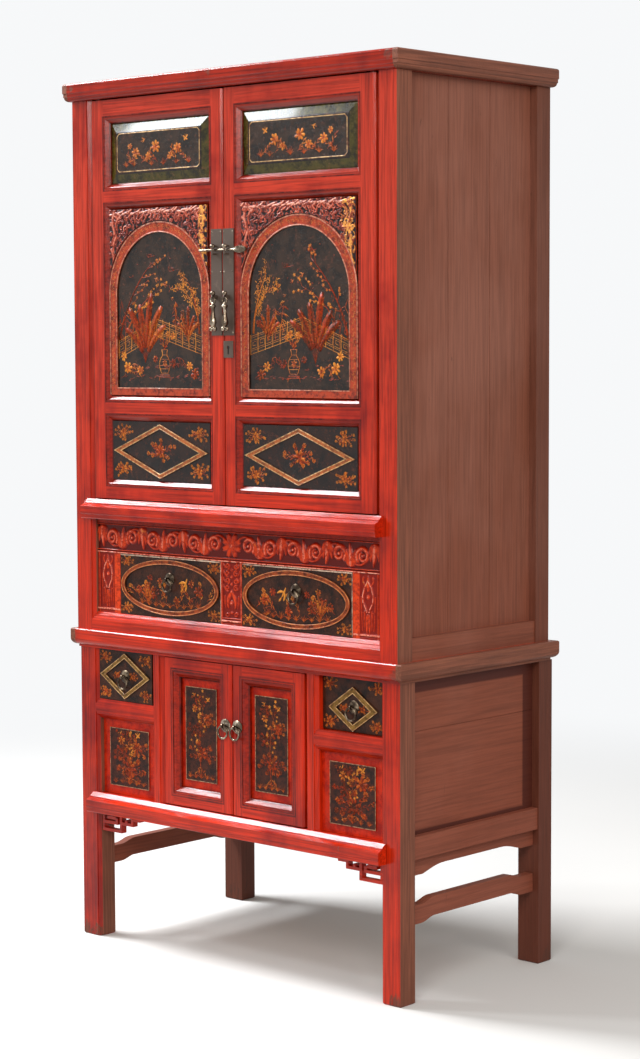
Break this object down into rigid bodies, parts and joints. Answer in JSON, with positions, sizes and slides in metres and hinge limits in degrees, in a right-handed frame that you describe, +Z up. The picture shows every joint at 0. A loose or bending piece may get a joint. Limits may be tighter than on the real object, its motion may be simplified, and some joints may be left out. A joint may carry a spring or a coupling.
{
  "type": "wedding cabinet",
  "caption": "Tall two-stage lacquered cabinet: panelled doors closed by a sliding pin, carved and painted drawers, small lower doors, side stretchers.",
  "frame": {"origin": "centre of the enclosing box's bottom face, on the floor", "axes": "+Z up, front towards -Y, +X to the right as seen from the front"},
  "size_m": [0.946, 0.524, 1.85],
  "materials": {
    "red_lacquer": "glossy red lacquer over wood, worn at the edges",
    "painted_panel": "lacquered panel with painted and gilt ornament",
    "gilt_carving": "carved wood with worn gilding",
    "brown_wood": "matt reddish brown paint, worn",
    "bare_wood": "bare aged softwood",
    "dark_metal": "darkened old brass"
  },
  "bodies": {
    "carcass": {"cornice_frame": "red_lacquer", "frame_boards": "brown_wood", "waist_frame": "red_lacquer", "upper_front_posts": "red_lacquer", "upper_rear_posts": "brown_wood", "front_legs": "red_lacquer", "rear_legs": "brown_wood", "upper_ledge_rail": "red_lacquer", "lower_ledge_rail": "red_lacquer", "drawer_sill_rail": "red_lacquer", "small_drawer_rails": "red_lacquer", "lower_dividers": "red_lacquer", "side_rails": "brown_wood", "upper_side_panels": "brown_wood", "lower_side_panels": "brown_wood", "back_panels": "bare_wood", "back_rails": "bare_wood", "side_aprons": "brown_wood", "side_stretchers": "brown_wood", "drawer_deck": "bare_wood", "cupboard_shelf": "bare_wood", "lower_floor": "bare_wood", "bearers_and_runners": "bare_wood", "carved_frieze": "gilt_carving", "carved_uprights": "gilt_carving", "fixed_panels": "painted_panel", "fret_brackets": "brown_wood"},
    "upper_door_left": {"upper_door_frame_left": "red_lacquer", "upper_door_panels_left": "painted_panel", "lock_plate_left": "dark_metal"},
    "drop_pull_left": {"drop_pull_left": "dark_metal"},
    "upper_door_right": {"upper_door_frame_right": "red_lacquer", "upper_door_panels_right": "painted_panel", "lock_plate_right": "dark_metal"},
    "drop_pull_right": {"drop_pull_right": "dark_metal"},
    "lock_pin": {"lock_pin": "dark_metal"},
    "lower_door_left": {"lower_door_frame_left": "red_lacquer", "lower_door_panel_left": "painted_panel", "lower_door_rosette_left": "dark_metal"},
    "lower_door_ring_left": {"lower_door_ring_left": "dark_metal"},
    "lower_door_right": {"lower_door_frame_right": "red_lacquer", "lower_door_panel_right": "painted_panel", "lower_door_rosette_right": "dark_metal"},
    "lower_door_ring_right": {"lower_door_ring_right": "dark_metal"},
    "wide_drawer_left": {"wide_drawer_front_left": "painted_panel", "wide_drawer_box_left": "bare_wood", "wide_drawer_rosette_left": "dark_metal"},
    "wide_drawer_ring_left": {"wide_drawer_ring_left": "dark_metal"},
    "wide_drawer_right": {"wide_drawer_front_right": "painted_panel", "wide_drawer_box_right": "bare_wood", "wide_drawer_rosette_right": "dark_metal"},
    "wide_drawer_ring_right": {"wide_drawer_ring_right": "dark_metal"},
    "small_drawer_left": {"small_drawer_front_left": "painted_panel", "small_drawer_box_left": "bare_wood", "small_drawer_rosette_left": "dark_metal"},
    "small_drawer_ring_left": {"small_drawer_ring_left": "dark_metal"},
    "small_drawer_right": {"small_drawer_front_right": "painted_panel", "small_drawer_box_right": "bare_wood", "small_drawer_rosette_right": "dark_metal"},
    "small_drawer_ring_right": {"small_drawer_ring_right": "dark_metal"}
  },
  "joints": [
    {"name": "upper_door_left_hinge", "type": "hinge", "parent": "carcass", "child": "upper_door_left", "pos_m": [-0.3875, -0.225, 0.9645], "axis": [0, 0, -1], "range_deg": [0, 105]},
    {"name": "drop_pull_left_hinge", "type": "hinge", "parent": "upper_door_left", "child": "drop_pull_left", "pos_m": [-0.02485, -0.2496, 1.389], "axis": [-1, 0, 0], "range_deg": [0, 90]},
    {"name": "upper_door_right_hinge", "type": "hinge", "parent": "carcass", "child": "upper_door_right", "pos_m": [0.3875, -0.225, 0.9645], "axis": [0, 0, 1], "range_deg": [0, 105]},
    {"name": "drop_pull_right_hinge", "type": "hinge", "parent": "upper_door_right", "child": "drop_pull_right", "pos_m": [0.00885, -0.2496, 1.389], "axis": [-1, 0, 0], "range_deg": [0, 90]},
    {"name": "lock_pin_slide", "type": "slide", "parent": "upper_door_right", "child": "lock_pin", "axis": [1, 0, 0], "range_m": [0, 0.065]},
    {"name": "lower_door_left_hinge", "type": "hinge", "parent": "carcass", "child": "lower_door_left", "pos_m": [-0.188, -0.217, 0.3225], "axis": [0, 0, -1], "range_deg": [0, 100]},
    {"name": "lower_door_ring_left_hinge", "type": "hinge", "parent": "lower_door_left", "child": "lower_door_ring_left", "pos_m": [-0.017, -0.2386, 0.507], "axis": [-1, 0, 0], "range_deg": [0, 90]},
    {"name": "lower_door_right_hinge", "type": "hinge", "parent": "carcass", "child": "lower_door_right", "pos_m": [0.188, -0.217, 0.3225], "axis": [0, 0, 1], "range_deg": [0, 100]},
    {"name": "lower_door_ring_right_hinge", "type": "hinge", "parent": "lower_door_right", "child": "lower_door_ring_right", "pos_m": [0.017, -0.2386, 0.507], "axis": [-1, 0, 0], "range_deg": [0, 90]},
    {"name": "wide_drawer_left_slide", "type": "slide", "parent": "carcass", "child": "wide_drawer_left", "axis": [0, -1, 0], "range_m": [0, 0.25]},
    {"name": "wide_drawer_ring_left_hinge", "type": "hinge", "parent": "wide_drawer_left", "child": "wide_drawer_ring_left", "pos_m": [-0.181, -0.2364, 0.8], "axis": [-1, 0, 0], "range_deg": [0, 90]},
    {"name": "wide_drawer_right_slide", "type": "slide", "parent": "carcass", "child": "wide_drawer_right", "axis": [0, -1, 0], "range_m": [0, 0.25]},
    {"name": "wide_drawer_ring_right_hinge", "type": "hinge", "parent": "wide_drawer_right", "child": "wide_drawer_ring_right", "pos_m": [0.181, -0.2364, 0.8], "axis": [-1, 0, 0], "range_deg": [0, 90]},
    {"name": "small_drawer_left_slide", "type": "slide", "parent": "carcass", "child": "small_drawer_left", "axis": [0, -1, 0], "range_m": [0, 0.25]},
    {"name": "small_drawer_ring_left_hinge", "type": "hinge", "parent": "small_drawer_left", "child": "small_drawer_ring_left", "pos_m": [-0.32125, -0.2351, 0.581], "axis": [-1, 0, 0], "range_deg": [0, 90]},
    {"name": "small_drawer_right_slide", "type": "slide", "parent": "carcass", "child": "small_drawer_right", "axis": [0, -1, 0], "range_m": [0, 0.25]},
    {"name": "small_drawer_ring_right_hinge", "type": "hinge", "parent": "small_drawer_right", "child": "small_drawer_ring_right", "pos_m": [0.32125, -0.2216, 0.577], "axis": [-1, 0, 0], "range_deg": [0, 90]}
  ]
}
